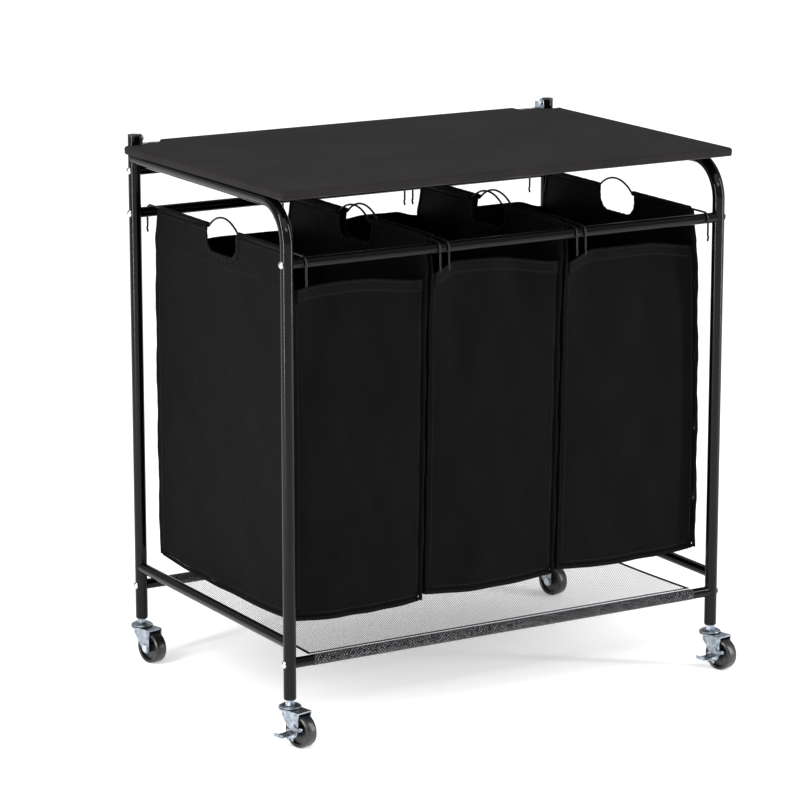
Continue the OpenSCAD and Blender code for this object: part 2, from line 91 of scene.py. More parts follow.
def addSky(look):
    # a big soft source high at the left front, and a pale world all round
    data = bpy.data.lights.new("WideSky", "SUN")
    data.energy, data.angle = look["power"], math.radians(look["spread"])
    lamp = bpy.data.objects.new("WideSky", data)
    lamp.rotation_euler = (math.radians(look["tilt"]), math.radians(look["roll"]), 0)
    bpy.context.scene.collection.objects.link(lamp)
    world = bpy.data.worlds.new("PaleStudio")
    world.use_nodes = True
    background = world.node_tree.nodes["Background"]
    background.inputs["Color"].default_value = hexColour(look["world"])
    background.inputs["Strength"].default_value = look["worldPower"]
    bpy.context.scene.world = world


addCamera(cameraLook)
addSky(skyLook)
for name, lamp in lightLook.items():
    addLight(name, *lamp)
bpy.context.scene.view_settings.view_transform = "Standard"
print("camera and lights placed")


def addNode(mat, kind, values=None, links=None, stops=None, **settings):
    # one node: settings are its own, values go on its sockets, links maps a socket to (node, output),
    # and stops are a colour ramp's (place, hex colour). A socket is named, or numbered where names
    # repeat: a Map Range takes 0, from 1 to 2, and gives from 3 to 4; a Mix has share 0, colours 6, 7
    tree = mat.node_tree
    made = tree.nodes.new("ShaderNode" + kind)
    for key, value in settings.items():
        setattr(made, key, value)
    for key, value in (values or {}).items():
        made.inputs[key].default_value = value
    for key, (source, output) in (links or {}).items():
        tree.links.new(source.outputs[output], made.inputs[key])
    if stops:
        while len(made.color_ramp.elements) < len(stops):
            made.color_ramp.elements.new(0.5)
        for element, (place, code) in zip(made.color_ramp.elements, stops):
            element.position, element.color = place, hexColour(code)
    return made


def newMaterial(name, values):
    # a Principled material with its uniform values set on the shader, and a node of coordinates
    mat = bpy.data.materials.new(name)
    mat.use_nodes = True
    shader = mat.node_tree.nodes["Principled BSDF"]
    for key, value in values.items():
        shader.inputs[key].default_value = value
    return mat, shader, addNode(mat, "TexCoord")


def wireUp(mat, shader, wires):
    # the shader's sockets, each fed by (node, output)
    for socket, (source, output) in wires.items():
        mat.node_tree.links.new(source.outputs[output], shader.inputs[socket])


hardLooks = {
    # polyester powder coat baked on tube: a clear gloss, faint haze, orange peel about 2 mm across
    "GlossBlackPowderCoat": {
        "values": {"Specular IOR Level": 0.2}, "cloud": {"Scale": 22.0, "Detail": 4.0},
        "tones": [(0.3, "#030303"), (0.7, "#060607")], "rough": (0.06, 0.13),
        "grain": {"Scale": 480.0, "Detail": 1.5}, "relief": (0.35, 0.00012)},
    # rolled sheet steel, zinc plated: cloudy bluish patches about 7 mm across, fine rolling lines
    "ZincPlatedSteel": {
        "values": {"Metallic": 1.0}, "cloud": {"Scale": 150.0, "Detail": 5.0, "Roughness": 0.65},
        "tones": [(0.25, "#5b6470"), (0.5, "#9aa3ad"), (0.72, "#c9d0d6")], "rough": (0.42, 0.2),
        "stretch": (400.0, 60.0, 1500.0), "grain": {"Scale": 1.0}, "relief": (0.5, 0.00004)},
    # nickel-plated screw heads: nearly mirror bright, with light tumbling marks
    "NickelPlatedScrew": {
        "values": {"Metallic": 1.0}, "cloud": {"Scale": 900.0, "Detail": 3.0},
        "tones": [(0.3, "#b9bcc0"), (0.7, "#e6e8ea")], "rough": (0.1, 0.26),
        "grain": {"Scale": 900.0, "Detail": 3.0}, "relief": (0.4, 0.00003)},
    # injection-moulded polypropylene: satin, with a spark-eroded grain about 0.6 mm across
    "MouldedBlackPolypropylene": {
        "values": {"IOR": 1.49}, "cloud": {"Scale": 60.0, "Detail": 3.0},
        "tones": [(0.3, "#080809"), (0.7, "#0e0e0f")], "rough": (0.38, 0.52),
        "grain": {"Scale": 1600.0}, "relief": (0.5, 0.00008)},
    # moulded nylon wheels: a soft gloss, a little dust, and fine scuffs along the tread
    "MouldedBlackNylon": {
        "values": {"IOR": 1.53, "Coat Weight": 0.15, "Coat Roughness": 0.2},
        "cloud": {"Scale": 240.0, "Detail": 5.0, "Roughness": 0.7},
        "tones": [(0.35, "#070708"), (0.62, "#0c0c0d"), (0.85, "#1d1c1c")], "rough": (0.2, 0.5),
        "stretch": (1500.0, 200.0, 200.0), "grain": {"Scale": 1.0, "Detail": 3.0},
        "relief": (0.5, 0.00005)},
    # steel wire dipped in black PVC: glossy, with slow runs in the coat
    "DippedBlackWire": {
        "values": {"Specular IOR Level": 0.25}, "cloud": {"Scale": 180.0, "Detail": 3.0},
        "tones": [(0.3, "#050506"), (0.7, "#0b0b0c")], "rough": (0.2, 0.38),
        "grain": {"Scale": 180.0, "Detail": 3.0}, "relief": (0.5, 0.0002)},
}


def hardMaterial(name, look):
    # paint, plating or plastic: clouds of noise change its colour and roughness together, and a finer
    # noise, stretched where the surface was rolled or rubbed, is its relief (strength, depth)
    mat, shader, coords = newMaterial(name, look["values"])
    cloud = addNode(mat, "TexNoise", look["cloud"], {"Vector": (coords, "Object")})
    tone = addNode(mat, "ValToRGB", None, {0: (cloud, 0)}, look["tones"])
    rough = addNode(mat, "MapRange", {3: look["rough"][0], 4: look["rough"][1]}, {0: (cloud, 0)})
    place = addNode(mat, "Mapping", {"Scale": look.get("stretch", (1.0, 1.0, 1.0))},
                    {"Vector": (coords, "Object")})
    grain = addNode(mat, "TexNoise", look["grain"], {"Vector": (place, 0)})
    relief = addNode(mat, "Bump", {"Strength": look["relief"][0], "Distance": look["relief"][1]},
                     {"Height": (grain, 0)})
    wireUp(mat, shader, {"Base Color": (tone, 0), "Roughness": (rough, 0), "Normal": (relief, 0)})
    return mat


def wovenCloth(name, weave):
    # woven polyester: a plain weave drawn on the flat cloth (a sine across times a sine along, so
    # threads pass over and under), creases from folding, blotches in the dye, and a soft sheen
    mat, shader, coords = newMaterial(name, {"Specular IOR Level": 0.05, "Sheen Weight": weave["sheen"],
                                      "Sheen Roughness": 0.45, "Sheen Tint": hexColour("#b9b4b8")})
    blotch = addNode(mat, "TexNoise", {"Scale": 9.0, "Detail": 5.0, "Roughness": 0.6},
                     {"Vector": (coords, "Object")})
    tone = addNode(mat, "ValToRGB", None, {0: (blotch, 0)}, [(0.3, weave["dark"]), (0.7, weave["light"])])
    rough = addNode(mat, "MapRange", {3: weave["smooth"], 4: weave["rough"]}, {0: (blotch, 0)})
    flat = addNode(mat, "SeparateXYZ", None, {0: (coords, "UV")})
    over, waves = math.pi / weave["pitch"], []
    for axis in (0, 1):
        turned = addNode(mat, "Math", {1: over}, {0: (flat, axis)}, operation="MULTIPLY")
        waves.append(addNode(mat, "Math", None, {0: (turned, 0)}, operation="SINE"))
    threads = addNode(mat, "Math", None, {0: (waves[0], 0), 1: (waves[1], 0)}, operation="MULTIPLY")
    crumple = addNode(mat, "TexNoise", {"Scale": weave["creases"], "Detail": 4.0, "Roughness": 0.6},
                      {"Vector": (coords, "Object")})
    coarse = addNode(mat, "Bump", {"Strength": 0.7, "Distance": 0.0018}, {"Height": (crumple, 0)})
    relief = addNode(mat, "Bump", {"Strength": 0.8, "Distance": weave["depth"]},
                     {"Height": (threads, 0), "Normal": (coarse, 0)})
    if weave["fleck"]:  # light fibres spun into the yarn
        spots = addNode(mat, "TexVoronoi", {"Scale": 260.0}, {"Vector": (coords, "Object")})
        share = addNode(mat, "MapRange", {1: 0.0, 2: 0.16, 3: 0.4, 4: 0.0}, {0: (spots, "Distance")})
        tone = addNode(mat, "Mix", {7: hexColour(weave["fleck"])}, {0: (share, 0), 6: (tone, 0)},
                       data_type="RGBA")
    wireUp(mat, shader, {"Base Color": (tone, 2 if weave["fleck"] else 0), "Roughness": (rough, 0),
                         "Normal": (relief, 0)})
    return mat


def fibreBoard():
    # pressed wood fibre under one thin coat of black paint: fibres about 2 mm long still show, matt
    mat, shader, coords = newMaterial("PaintedFibreboard", {"Roughness": 0.75})
    fibres = addNode(mat, "TexNoise", {"Scale": 420.0, "Detail": 6.0, "Roughness": 0.75},
                     {"Vector": (coords, "Object")})
    tone = addNode(mat, "ValToRGB", None, {0: (fibres, 0)},
                   [(0.3, "#1f1b18"), (0.55, "#2b2521"), (0.8, "#3a322c")])
    relief = addNode(mat, "Bump", {"Strength": 0.6, "Distance": 0.0002}, {"Height": (fibres, 0)})
    wireUp(mat, shader, {"Base Color": (tone, 0), "Normal": (relief, 0)})
    return mat


def spunYarn(name, yarnLook):
    # polyester thread and net yarn: matt, with the twist of its filaments as a fine relief
    mat, shader, coords = newMaterial(name, {"Roughness": 0.6, "Specular IOR Level": 0.3})
    twist = addNode(mat, "TexNoise", {"Scale": yarnLook["scale"]}, {"Vector": (coords, "Object")})
    tone = addNode(mat, "ValToRGB", None, {0: (twist, 0)},
                   [(0.42, yarnLook["dark"]), (0.62, yarnLook["light"])])
    relief = addNode(mat, "Bump", {"Strength": 0.5, "Distance": 0.00006}, {"Height": (twist, 0)})
    wireUp(mat, shader, {"Base Color": (tone, 0), "Normal": (relief, 0)})
    return mat


# the weaves are drawn at 1.5 and 1.6 mm: the real 0.4 to 0.6 mm is too fine to show
bagWeave = {"dark": "#060506", "light": "#0c0b0c", "pitch": 0.0015, "depth": 0.0002, "sheen": 0.015,
            "smooth": 0.62, "rough": 0.8, "creases": 55.0, "fleck": None}
tapeWeave = {"dark": "#060606", "light": "#0e0d0e", "pitch": 0.0016, "depth": 0.0002, "sheen": 0.02,
             "smooth": 0.55, "rough": 0.72, "creases": 90.0, "fleck": None}
coverWeave = {"dark": "#211f20", "light": "#2a2828", "pitch": 0.0016, "depth": 0.00024, "sheen": 0.02,
              "smooth": 0.72, "rough": 0.86, "creases": 30.0, "fleck": "#403e3e"}
coat, zinc, screwSteel, plastic, nylon, wire = [hardMaterial(name, look) for name, look in hardLooks.items()]
bagCloth = wovenCloth("BlackBagPolyester", bagWeave)
tape = wovenCloth("BlackBindingTape", tapeWeave)
canvas = wovenCloth("CharcoalCoverCanvas", coverWeave)
fibre = fibreBoard()
thread = spunYarn("PolyesterThread", {"scale": 2500.0, "dark": "#151415", "light": "#2e2d2e"})
yarn = spunYarn("KnittedNetYarn", {"scale": 1500.0, "dark": "#0a0a0b", "light": "#19191a"})
# the sleeves' yarn is black: its light colour, spread in small specks along it by the twist noise, is painted
# highlight standing in for glints on the yarn and on the glossy bar under it
paintedGlintYarn = spunYarn("NetYarnPaintedGlints", {"scale": 420.0, "dark": "#0a0a0b", "light": "#8c8c90"})
print("materials made")

nodeFinish = {
    "_leg": coat, "_post": coat, "_rail": coat, "_bar": coat, "bar_inserts": zinc, "frame_screws": screwSteel,
    "post_caps": plastic, "pivot_screws": screwSteel, "stem_sockets": plastic, "caster_stems": zinc,
    "race_rings": plastic, "hinge_brackets": zinc, "bracket_screws": screwSteel, "_rod_l": wire,
    "_rod_r": wire, "_fork": zinc, "_wheel": nylon, "_axle": screwSteel, "_brake": zinc, "board_core": fibre,
}


def finishNodes(finish):
    # each kept node gets its material; Weld and Edge Split give round faces smooth shading
    for nodeName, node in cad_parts.items():
        mat = next((m for ending, m in finish.items() if nodeName.endswith(ending)), plastic)
        for materialSlot in node.material_slots:
            materialSlot.material = mat
        weld = node.modifiers.new("Weld", "WELD")
        weld.merge_threshold = 0.000002
        split = node.modifiers.new("CrispEdges", "EDGE_SPLIT")
        split.split_angle = math.radians(28)
        node.data.polygons.foreach_set("use_smooth", np.ones(len(node.data.polygons), bool))


finishNodes(nodeFinish)
print("kept nodes finished")


def unit(vectors):
    # each vector divided by its length
    return vectors / np.linalg.norm(vectors, axis=-1, keepdims=True)


def walkAlong(path):
    # the distance walked to each point of a path
    return np.concatenate([[0], np.cumsum(np.linalg.norm(np.diff(path, axis=0), axis=1))])


def gridPatch(points, flat, wrapAcross=False, wrapAlong=False):
    # points: rows x columns x 3. Quads join neighbours; a wrapped side joins its last line to its
    # first. flat: the same grid, one line more on a wrapped side, in metres of flat cloth.
    rows, cols = points.shape[:2]
    index = np.arange(rows * cols).reshape(rows, cols)
    if wrapAcross:
        index = np.hstack([index, index[:, :1]])
    if wrapAlong:
        index = np.vstack([index, index[:1]])

    def corners(grid):
        return np.stack([grid[:-1, :-1], grid[:-1, 1:], grid[1:, 1:], grid[1:, :-1]], 2)
    quads = corners(index).reshape(-1, 4)
    uv = corners(flat[:index.shape[0], :index.shape[1]]).reshape(-1, 4, 2)
    return points.reshape(-1, 3), quads, uv


def flatGrid(points, wrapAcross=False, wrapAlong=False):
    # flat size of a grid: the length walked along its middle row and its middle column
    closed = np.concatenate([points, points[:, :1]], 1) if wrapAcross else points
    closed = np.concatenate([closed, closed[:1]], 0) if wrapAlong else closed
    row, col = closed[len(closed) // 2], closed[:, closed.shape[1] // 2]
    return np.stack(np.meshgrid(walkAlong(row), walkAlong(col)), -1)


def sweep(path, profile, up, closed=False, scale=None):
    # a profile carried along a path: its first number goes sideways (up x tangent), its second along
    # up. An open path gets a point at each end that closes it.
    path, up = np.asarray(path, float), np.broadcast_to(np.asarray(up, float), (len(path), 3))
    if closed:
        tangent = np.roll(path, -1, 0) - np.roll(path, 1, 0)
    else:
        tangent = np.gradient(path, axis=0)
    tangent = unit(tangent)
    side = unit(np.cross(up, tangent))
    upright = np.cross(tangent, side)
    profile = np.asarray(profile, float)
    size = np.ones(len(path)) if scale is None else np.asarray(scale, float)
    points = (path[:, None] + size[:, None, None] * (side[:, None] * profile[None, :, :1]
              + upright[:, None] * profile[None, :, 1:]))
    if not closed:
        ends = [np.repeat(path[k][None, None], len(profile), 1) for k in (0, -1)]
        points = np.concatenate([ends[0], points, ends[1]], 0)
    return gridPatch(points, flatGrid(points, True, closed), True, closed)


def ovalProfile(width, height, sides=10, square=0.6, offset=(0, 0)):
    # a closed oval; the lower square is, the flatter its sides
    a = np.linspace(0, 2 * math.pi, sides, endpoint=False)
    c, s = np.cos(a), np.sin(a)
    return np.stack([offset[0] + width / 2 * np.sign(c) * np.abs(c) ** square,
                     offset[1] + height / 2 * np.sign(s) * np.abs(s) ** square], 1)


def stitches(path, up, look):
    # stitches along a path: pointed spindles with two square rings, sunk halfway into the cloth
    path, up = np.asarray(path, float), np.broadcast_to(np.asarray(up, float), np.shape(path))
    walked = walkAlong(path)
    starts = np.arange(0.001, walked[-1] - look["length"] - 0.0005, look["pitch"])

    def at(d, values):
        return np.stack([np.interp(d, walked, values[:, k]) for k in range(3)], 1)
    a, b, n = at(starts, path), at(starts + look["length"], path), at(starts + look["length"] / 2, up)
    n = unit(n)
    t = unit(b - a)
    side = np.cross(n, t)
    w, h = look["width"] / 2, look["height"]
    rings = [a + n * 0]
    for share in (0.25, 0.75):
        mid = a + (b - a) * share
        rings += [mid + side * w, mid + n * h, mid - side * w, mid - n * h * 0.5]
    rings.append(b)
    points = np.stack(rings, 1)
    one = [[0, 1, 2, 2], [0, 2, 3, 3], [0, 3, 4, 4], [0, 4, 1, 1], [9, 6, 5, 5], [9, 7, 6, 6], [9, 8, 7, 7],
           [9, 5, 8, 8], [1, 5, 6, 2], [2, 6, 7, 3], [3, 7, 8, 4], [4, 8, 5, 1]]
    quads = (np.arange(len(starts))[:, None, None] * 10 + np.array(one)[None]).reshape(-1, 4)
    return points.reshape(-1, 3), quads, np.zeros((len(quads), 4, 2))


def makePiece(name, patches, mat, body):
    # patches (points, quads, flat places) into one mesh. Corners within a tenth of a micron become one,
    # and a quad that loses a corner by that becomes a triangle, or nothing.
    points = np.concatenate([p[0] for p in patches])
    starts = np.cumsum([0] + [len(p[0]) for p in patches[:-1]])
    quads = np.concatenate([p[1] + s for p, s in zip(patches, starts)])
    flat = np.concatenate([p[2] for p in patches])
    points, whose = np.unique(np.round(points, 7), axis=0, return_inverse=True)
    quads = whose.ravel()[quads]
    keep = quads != np.roll(quads, 1, 1)
    keep[(quads[:, 0] == quads[:, 2]) | (quads[:, 1] == quads[:, 3])] = False
    keep[keep.sum(1) < 3] = False
    sizes = keep.sum(1)
    sizes = sizes[sizes > 0]
    mesh = bpy.data.meshes.new(name)
    mesh.vertices.add(len(points))
    mesh.vertices.foreach_set("co", points.ravel())
    mesh.loops.add(int(keep.sum()))
    mesh.loops.foreach_set("vertex_index", quads[keep].astype(np.int32))
    mesh.polygons.add(len(sizes))
    mesh.polygons.foreach_set("loop_start", np.concatenate([[0], np.cumsum(sizes)[:-1]]).astype(np.int32))
    mesh.uv_layers.new(name="flatCloth").data.foreach_set("uv", flat[keep].ravel())
    mesh.update(calc_edges=True)
    work = bmesh.new()
    work.from_mesh(mesh)
    bmesh.ops.recalc_face_normals(work, faces=work.faces)
    work.to_mesh(mesh)
    work.free()
    mesh.polygons.foreach_set("use_smooth", np.ones(len(mesh.polygons), bool))
    mesh.materials.append(mat)
    piece = bpy.data.objects.new(name, mesh)
    bpy.context.scene.collection.objects.link(piece)
    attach(piece, body)
    print(name, len(points), "points")
    return piece


def ease(x, low, high):
    # smooth step from 0 at low to 1 at high
    t = np.clip((x - low) / (high - low), 0, 1)
    return t * t * (3 - 2 * t)


bagLook = {
    # cloth thickness, corner and base radius, grid step, and the height where the rim's rows begin
    "cloth": 0.0012, "cornerR": 0.006, "baseR": 0.009, "step": 0.008, "zoneZ": 0.652,
    # hand cut-outs, rim, and how far the rods lie inside the bag's box
    "cutHalf": 0.048, "cutR": 0.022, "cutDeep": 0.038, "drawIn": 0.013, "panelDrop": 0.0549, "rodIn": 0.004,
    # drape: front bulge, lean at the hem, pull of the sides, ripples, belly, and sags of the base
    "bulge": 0.0055, "lean": 0.010, "sidePull": 0.0035, "ripple": 0.0017, "sideRipple": 0.0010,
    "belly": 0.0022, "edgeUp": 0.0065, "frontSag": 0.0055, "sideSag": 0.006, "baseSag": 0.006,
    # hems, welts at the corners and round the base, bindings and rod casings
    "hemDeep": 0.020, "weltOut": 0.0065, "weltThick": 0.0024, "weltUp": 0.0055, "weltSway": 0.0013,
    "weltFlutter": 0.0006, "baseWeltOut": 0.0058, "baseWeltThick": 0.0022, "bindWide": 0.0085,
    "bindThick": 0.0032, "bindIn": 0.0030, "casingR": 0.0039, "wireR": 0.0021,
    # the facing's seam across each side, with its dip, and the ridge of its fold
    "seamDrop": 0.051, "seamDip": 0.0035, "dipWide": 0.05, "ridgeUnder": 0.002, "ridgeWide": 0.0026,
    "ridgeThick": 0.0012,
}
stitchLook = {
    "pitch": 0.0036, "length": 0.0027, "width": 0.0009, "height": 0.0005, "lift": 0.0002,
    # rows: into the hem from its two edges, over the hem's cloth, up from the base, down from the rim
    "hemTop": 0.003, "hemFoot": 0.004, "hemLift": 0.0012, "footUp": 0.020, "topDown": 0.024,
    "baseUp": 0.0095, "casingDown": 0.0075,
}
# each bag hangs its own way. Hem: (middle's height, left droop, where it ends, right droop, where it
# starts). Pull: how far the left and right front corners lean sideways, at the hem and at the base.
# A fold is (how far across, how wide, how deep, how far down it reaches).
bagHang = {
    "left": {"seed": 3, "hem": (0.003, 0.003, -0.3, 0.009, 0.0), "lower": 0.008,
             "pull": ((0.0, -0.004), (0.0, -0.014)),
             "folds": [(-0.75, 0.14, 0.004, 0.75), (0.15, 0.5, 0.004, 0.9)]},
    "centre": {"seed": 8, "hem": (0.013, 0.011, -0.55, 0.014, -0.1), "lower": 0.0,
               "pull": ((-0.004, -0.006), (-0.014, -0.018)),
               "folds": [(-0.62, 0.22, 0.007, 0.55), (0.55, 0.4, 0.003, 0.8)]},
    "right": {"seed": 15, "hem": (0.008, 0.013, -0.5, 0.008, 0.3), "lower": -0.005,
              "pull": ((-0.006, 0.0), (-0.018, 0.008)),
              "folds": [(-0.7, 0.25, 0.006, 0.5), (0.3, 0.35, 0.004, 0.85)]},
}


class Bag:
    # one bag: where its fabric is, worked out from its node's box and its hang
    def __init__(self, name, look, hang):
        low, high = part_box(name + "_bag")
        self.look, self.hang = look, hang
        self.midX = (low.x + high.x) / 2
        self.halfX, self.halfY = (high.x - low.x) / 2, high.y
        self.baseZ = low.z
        self.rodZ = high.z - look["rodIn"]
        self.panelZ = self.rodZ - look["panelDrop"]
        rng = np.random.default_rng(hang["seed"])
        self.ripple = rng.uniform(0, 2 * math.pi, (6, 4))
        self.waves = rng.uniform(0.6, 1.6, (6, 2))

    def drape(self, side, t, z):
        # how far the cloth stands out of its flat panel: a broad bulge low down, hems that lean in,
        # vertical folds that fade downwards, and small ripples; nothing at the sewn corners
        k = self.look
        h = (z - self.baseZ) / (self.panelZ - self.baseZ)
        free = np.clip(1 - np.abs(t) ** 3, 0, 1)
        hump = np.sin(math.pi * np.clip(h, 0, 1) ** 0.8)
        wide = (side == 0) | (side == 2)
        out = np.where(wide, k["bulge"] * hump - k["lean"] * ease(h, 0.72, 1.0), -k["sidePull"] * hump) * free
        for place, width, deep, reach in self.hang["folds"]:
            fold = np.exp(-((t - place) / width) ** 2) * ease(h, 1 - reach, 1.0)
            out -= np.where(side == 0, deep, np.where(side == 2, 0.5 * deep, 0.25 * deep)) * fold * free
        for number, (fx, fz) in enumerate(self.waves):
            p = self.ripple[number]
            size = np.where(wide, k["ripple"], k["sideRipple"]) / (1 + 0.3 * number)
            out += size * free * np.sin(fx * (number + 1) * 2.2 * t + p[0] + 1.3 * side) * np.cos(
                fz * (number + 1) * 1.7 * h * 2 + p[1] + side)
        return out

    def topZ(self, side, t, y):
        # the rim: bowed hems front and back; on the sides the rod's height with a hand cut-out
        k = self.look
        mid, left, leftEnd, right, rightStart = self.hang["hem"]
        t = np.where(side == 2, -t, t)
        bow = mid - left * ease(-t, -leftEnd, 1.0) - right * ease(t, rightStart, 1.0)
        away = np.abs(y)
        flatHalf = k["cutHalf"] - k["cutR"]
        arc = k["cutR"] - np.sqrt(np.clip(k["cutR"] ** 2 - np.clip(away - flatHalf, 0, k["cutR"]) ** 2, 0, 1))
        cut = self.rodZ - k["cutDeep"] + arc
        slant = np.clip((away - (self.halfY - k["drawIn"])) / k["drawIn"], 0, 1)
        high = self.rodZ - slant * (self.rodZ - self.panelZ)
        sides = np.where(away < k["cutHalf"], cut, high)
        return np.where((side == 0) | (side == 2), self.panelZ + bow, sides)

    def lowZ(self, side, t):
        # the base edge sags between the corners
        sag = np.where((side == 0) | (side == 2), self.look["frontSag"], self.look["sideSag"])
        return self.baseZ + self.look["edgeUp"] - self.hang["lower"] - sag * (1 - np.abs(t) ** 2.2)

    def columns(self):
        # places round the bag: side number (0 front, 1 right, 2 back, 3 left), share across, plan place
        # and outward direction. Each side is a straight run, finer at its cut-out, and each corner a
        # quarter of a circle
        k = self.look
        r = k["cornerR"]
        a, b = self.halfX, self.halfY
        across = np.linspace(-(a - r), a - r, int(2 * a / k["step"]) + 1)
        sheer = 0.0001  # the cut-out's upright edge lies between two columns this far off it
        turn = np.linspace(0, math.pi / 2, 7)
        cuts = k["cutHalf"] - k["cutR"] + k["cutR"] * np.sin(turn)
        cuts[-1] = k["cutHalf"] - sheer
        ys = np.concatenate([np.linspace(0, k["cutHalf"] - k["cutR"], 4)[:-1], cuts, [k["cutHalf"] + sheer],
                             np.linspace(k["cutHalf"] + 0.006, b - k["drawIn"], 19),
                             np.linspace(b - k["drawIn"], b - r, 3)[1:]])
        ys = np.concatenate([-ys[:0:-1], ys])
        corner = np.radians([15, 30, 45, 60, 75])
        parts = []
        for side, along in enumerate([across, ys, across[::-1], ys[::-1]]):
            out = [(0, -1), (1, 0), (0, 1), (-1, 0)][side]
            half = a if side % 2 == 0 else b
            x = along if side % 2 == 0 else np.full_like(along, out[0] * a)
            y = np.full_like(along, out[1] * b) if side % 2 == 0 else along
            parts.append(np.stack([np.full_like(along, side), along / (half - r) * 0.999, x, y,
                                   np.full_like(along, out[0]), np.full_like(along, out[1])], 1))
            nxt = [(1, 0), (0, 1), (-1, 0), (0, -1)][side]
            nx = out[0] * np.cos(corner) + nxt[0] * np.sin(corner)
            ny = out[1] * np.cos(corner) + nxt[1] * np.sin(corner)
            cx = (a - r) * (1 if side in (0, 1) else -1)
            cy = (b - r) * (1 if side in (1, 2) else -1)
            own = np.where(corner < 0.7, side, (side + 1) % 4)
            sign = np.where(own % 2 == 0, np.sign(cx), np.sign(cy))
            parts.append(np.stack([own, sign, cx + r * nx, cy + r * ny, nx, ny], 1))
        return np.concatenate(parts)

    def wall(self, side, t, x, y, nx, ny, z, inset):
        # a point of the cloth: its plan place moved out by the drape and in by the inset; the whole
        # bag narrows a little front to back near the rods, where its corners are drawn in
        draw = self.look["drawIn"] * np.clip((z - self.panelZ) / (self.rodZ - self.panelZ), 0, 1)
        rise = np.clip((z - self.baseZ) / (self.panelZ - self.baseZ), 0, 1)
        belly = self.look["belly"] * np.sin(math.pi * rise)
        limit = np.abs(y) - np.clip(np.abs(y) - (self.halfY - draw), 0, 1)
        push = self.drape(side, t, z) - inset
        share = (x + self.halfX) / (2 * self.halfX)
        # the front corners lean: at the hem by one pull, at the base by another, less to the back
        hem, foot = [a * (1 - share) + b * share for a, b in self.hang["pull"]]
        down = ease((self.rodZ - z), 0.0, self.rodZ - self.panelZ)
        toFoot = np.sqrt(np.clip((self.panelZ - z) / (self.panelZ - self.baseZ), 0, 1))
        front = np.clip(0.5 - y / (2 * self.halfY), 0, 1)
        px = self.midX + x + nx * push + (hem + (foot - hem) * toFoot) * down * front
        py = np.sign(y) * limit + belly * y / self.halfY + ny * push
        return np.stack([px, py, z], -1)

    def skin(self, inset):
        # rows from the middle of the base out to its edge, over the rounded edge and up to the rim
        k = self.look
        side, t, x, y, nx, ny = self.columns().T
        low, top = self.lowZ(side, t) + inset, self.topZ(side, t, y)
        r = k["baseR"]
        rows = []
        for s in np.linspace(0, 1, 9)[:-1] ** 0.8:
            sag = k["baseSag"] * (1 - s ** 2)
            edge = self.wall(side, t, x, y, nx, ny, low, inset + r)
            centre = np.array([self.midX, 0.0, low.mean()])
            rows.append(centre + (edge - centre) * s - [0, 0, sag])
        for a in np.radians([0, 22, 45, 68]):
            inner = inset + r * (1 - np.sin(a))
            rows.append(self.wall(side, t, x, y, nx, ny, low + r * (1 - np.cos(a)), inner))
        for h in np.linspace(0, 1, 42):
            rows.append(self.wall(side, t, x, y, nx, ny, low + r + h * (k["zoneZ"] - low - r), inset))
        for h in np.linspace(0, 1, 9)[1:]:
            rows.append(self.wall(side, t, x, y, nx, ny, k["zoneZ"] + h * (top - k["zoneZ"]), inset))
        return np.stack(rows)

    def line(self, side, t, z, lift=0.0):
        # points on one panel's outer face, and the outward direction there
        t = np.asarray(t, float)
        z = np.broadcast_to(np.asarray(z, float), t.shape)
        out = np.array([(0, -1), (1, 0), (0, 1), (-1, 0)][side], float)
        r = self.look["cornerR"]
        half = (self.halfX if side % 2 == 0 else self.halfY) - r
        x = t * half if side % 2 == 0 else np.full_like(t, out[0] * self.halfX)
        y = np.full_like(t, out[1] * self.halfY) if side % 2 == 0 else t * half
        points = self.wall(np.full_like(t, side), t, x, y, out[0], out[1], z, -lift)
        return points, np.broadcast_to([out[0], out[1], 0.0], points.shape)


def cornerWelts(bag):
    # a welt down each corner: an oval carried down the corner's line, which sways by two sines of height
    k, patches = bag.look, []
    r45 = math.sqrt(0.5)
    for sx, sy in ((-1, -1), (1, -1), (1, 1), (-1, 1)):
        foot = bag.baseZ + k["weltUp"] - bag.hang["lower"]
        z = np.concatenate([np.linspace(foot, bag.panelZ, 44),
                            np.linspace(bag.panelZ + 0.006, bag.rodZ - 0.001, 8)])
        x = np.full_like(z, sx * (bag.halfX - k["cornerR"] * (1 - r45)))
        y = np.full_like(z, sy * (bag.halfY - k["cornerR"] * (1 - r45)))
        side = np.full_like(z, 1 if sx > 0 else 3)
        path = bag.wall(side, np.full_like(z, sy), x, y, sx * r45, sy * r45, z, 0.0)
        sway = k["weltSway"] * np.sin(z * 55 + sx + 2 * sy) + k["weltFlutter"] * np.sin(z * 170)
        path[:, 1] += sy * sway
        lean = np.array([sx * 0.30, sy * 0.95, 0.0])
        path += lean * k["weltOut"] * 0.42
        patches.append(sweep(path, ovalProfile(k["weltThick"], k["weltOut"], 10, 0.55), lean))
    return patches


def baseWelt(bag):
    # the welt round the base: an oval carried round the foot of the walls, pointing down and a little
    # outwards. Columns that nearly meet are left out
    side, t, x, y, nx, ny = bag.columns().T
    ring = bag.wall(side, t, x, y, nx, ny, bag.lowZ(side, t) + 0.0012, 0.0016)
    keep = np.concatenate([[True], np.linalg.norm(np.diff(ring, axis=0), axis=1) > 0.0008])
    ring, nx, ny = ring[keep], nx[keep], ny[keep]
    down = np.stack([nx * 0.35, ny * 0.35, np.full(len(ring), -0.94)], 1)
    oval = ovalProfile(bag.look["baseWeltThick"], bag.look["baseWeltOut"], 10, 0.55)
    return [sweep(ring + down * 0.0012, oval, down, True)]


